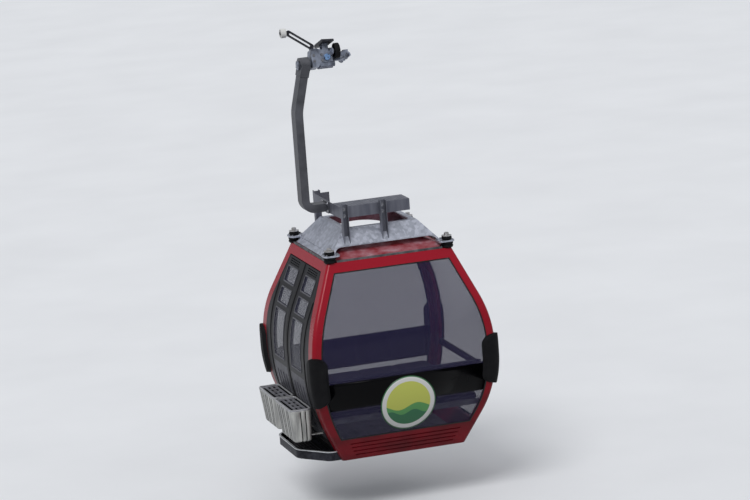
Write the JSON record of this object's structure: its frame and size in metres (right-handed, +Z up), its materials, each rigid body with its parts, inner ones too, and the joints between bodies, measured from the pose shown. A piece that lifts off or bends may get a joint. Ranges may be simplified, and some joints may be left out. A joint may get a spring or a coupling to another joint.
{
  "type": "ropeway gondola cabin with hanger and detachable rope grip",
  "caption": "Barrel-shaped glazed ropeway cabin with sliding-swing doors and ski racks, hung from a bent arm and a detachable rope grip.",
  "frame": {"origin": "on the rope's axis at the middle of the grip's jaws", "axes": "+Z up, -Y uphill and the cabin's front, -X the door side"},
  "size_m": [2.071, 1.848, 4.1723],
  "materials": {
    "red_frame": "gloss red enamel, weathered",
    "black_frame": "satin black powder coat",
    "tinted_glass": "smoke tinted acrylic",
    "sheet_panel": "matt rolled sheet",
    "rack_metal": "fluted sheet, dull",
    "galvanised": "hot-dip galvanised, grey",
    "hanger_paint": "dark grey paint",
    "black_rubber": "matt black rubber",
    "cast_metal": "cast, machined faces",
    "black_steel": "black paint, worn",
    "step_trim": "bare edge trim",
    "white_plastic": "cast nylon",
    "floor_metal": "ribbed floor plate",
    "navy_fabric": "ribbed dark navy cloth"
  },
  "bodies": {
    "grip": {"grip_body": "cast_metal", "moving_jaw": "cast_metal", "grip_lever": "black_steel", "jaw_pins": "cast_metal", "hanger_shaft": "cast_metal", "spring_housings": "cast_metal", "wheel_axles": "cast_metal", "friction_plate": "black_steel"},
    "uphill running wheel": {"uphill_wheel": "black_rubber"},
    "downhill running wheel": {"downhill_wheel": "black_rubber"},
    "lever roller": {"lever_roller": "white_plastic"},
    "front door arm": {"front_door_arm": "black_steel"},
    "front door": {"front_door_leaf": "black_frame", "front_door_windows": "tinted_glass", "front_door_panel": "sheet_panel", "front_ski_rack": "rack_metal", "front_rack_top": "rack_metal", "front_door_foot": "black_steel"},
    "rear door arm": {"rear_door_arm": "black_steel"},
    "rear door": {"rear_door_leaf": "black_frame", "rear_door_windows": "tinted_glass", "rear_door_panel": "sheet_panel", "rear_ski_rack": "rack_metal", "rear_rack_top": "rack_metal", "rear_door_foot": "black_steel"},
    "cabin": {"corner_posts": "red_frame", "top_ring": "red_frame", "front_lower_panel": "red_frame", "back_lower_panel": "red_frame", "far_lower_panel": "red_frame", "roof_shell": "red_frame", "door_frame": "black_frame", "front_bench_back": "black_frame", "back_bench_back": "black_frame", "far_rail": "black_frame", "front_window": "tinted_glass", "back_window": "tinted_glass", "far_window": "tinted_glass", "roof_frame": "galvanised", "roof_apron": "galvanised", "upper_frame": "galvanised", "frame_posts": "galvanised", "hanger_tube": "hanger_paint", "hanger_head": "hanger_paint", "corner_bumpers": "black_rubber", "buffer_feet": "black_rubber", "buffer_rings": "black_rubber", "roof_gutter": "black_rubber", "buffer_caps": "cast_metal", "step_tray": "black_steel", "door_shafts": "black_steel", "step_rim": "step_trim", "floor_pan": "floor_metal", "front_bench_frame": "floor_metal", "back_bench_frame": "floor_metal", "front_seat_pad": "navy_fabric", "back_seat_pad": "navy_fabric", "front_back_pad": "navy_fabric", "back_back_pad": "navy_fabric"}
  },
  "joints": [
    {"name": "hanger_swing", "type": "hinge", "parent": "grip", "child": "cabin", "pos_m": [-0.415, 0, -0.03], "axis": [1, 0, 0], "range_deg": [-60, 25]},
    {"name": "uphill_wheel_spin", "type": "hinge", "parent": "grip", "child": "uphill running wheel", "pos_m": [-0.105, -0.09241, 0.08596], "axis": [1, 0, 0], "continuous": true},
    {"name": "downhill_wheel_spin", "type": "hinge", "parent": "grip", "child": "downhill running wheel", "pos_m": [-0.105, 0.12558, 0.0126], "axis": [1, 0, 0], "continuous": true},
    {"name": "lever_roller_spin", "type": "hinge", "parent": "grip", "child": "lever roller", "pos_m": [-0.572, 0.09569, 0.28433], "axis": [1, 0, 0], "continuous": true},
    {"name": "door_swing", "type": "hinge", "parent": "cabin", "child": "front door arm", "pos_m": [-0.48, -0.45, -3.694], "axis": [0, 0, 1], "range_deg": [0, 115]},
    {"name": "front_leaf_turn", "type": "hinge", "parent": "front door arm", "child": "front door", "pos_m": [-0.48, -0.13, -3.694], "axis": [0, 0, 1], "range_deg": [-116, 1]},
    {"name": "rear_arm_swing", "type": "hinge", "parent": "cabin", "child": "rear door arm", "pos_m": [-0.48, 0.45, -3.694], "axis": [0, 0, 1], "range_deg": [-116, 1]},
    {"name": "rear_leaf_turn", "type": "hinge", "parent": "rear door arm", "child": "rear door", "pos_m": [-0.48, 0.13, -3.694], "axis": [0, 0, 1], "range_deg": [-1, 116]}
  ],
  "couplings": [
    {"joint": "front_leaf_turn", "follows": "door_swing", "ratio": -1},
    {"joint": "rear_arm_swing", "follows": "door_swing", "ratio": -1},
    {"joint": "rear_leaf_turn", "follows": "door_swing", "ratio": 1}
  ]
}
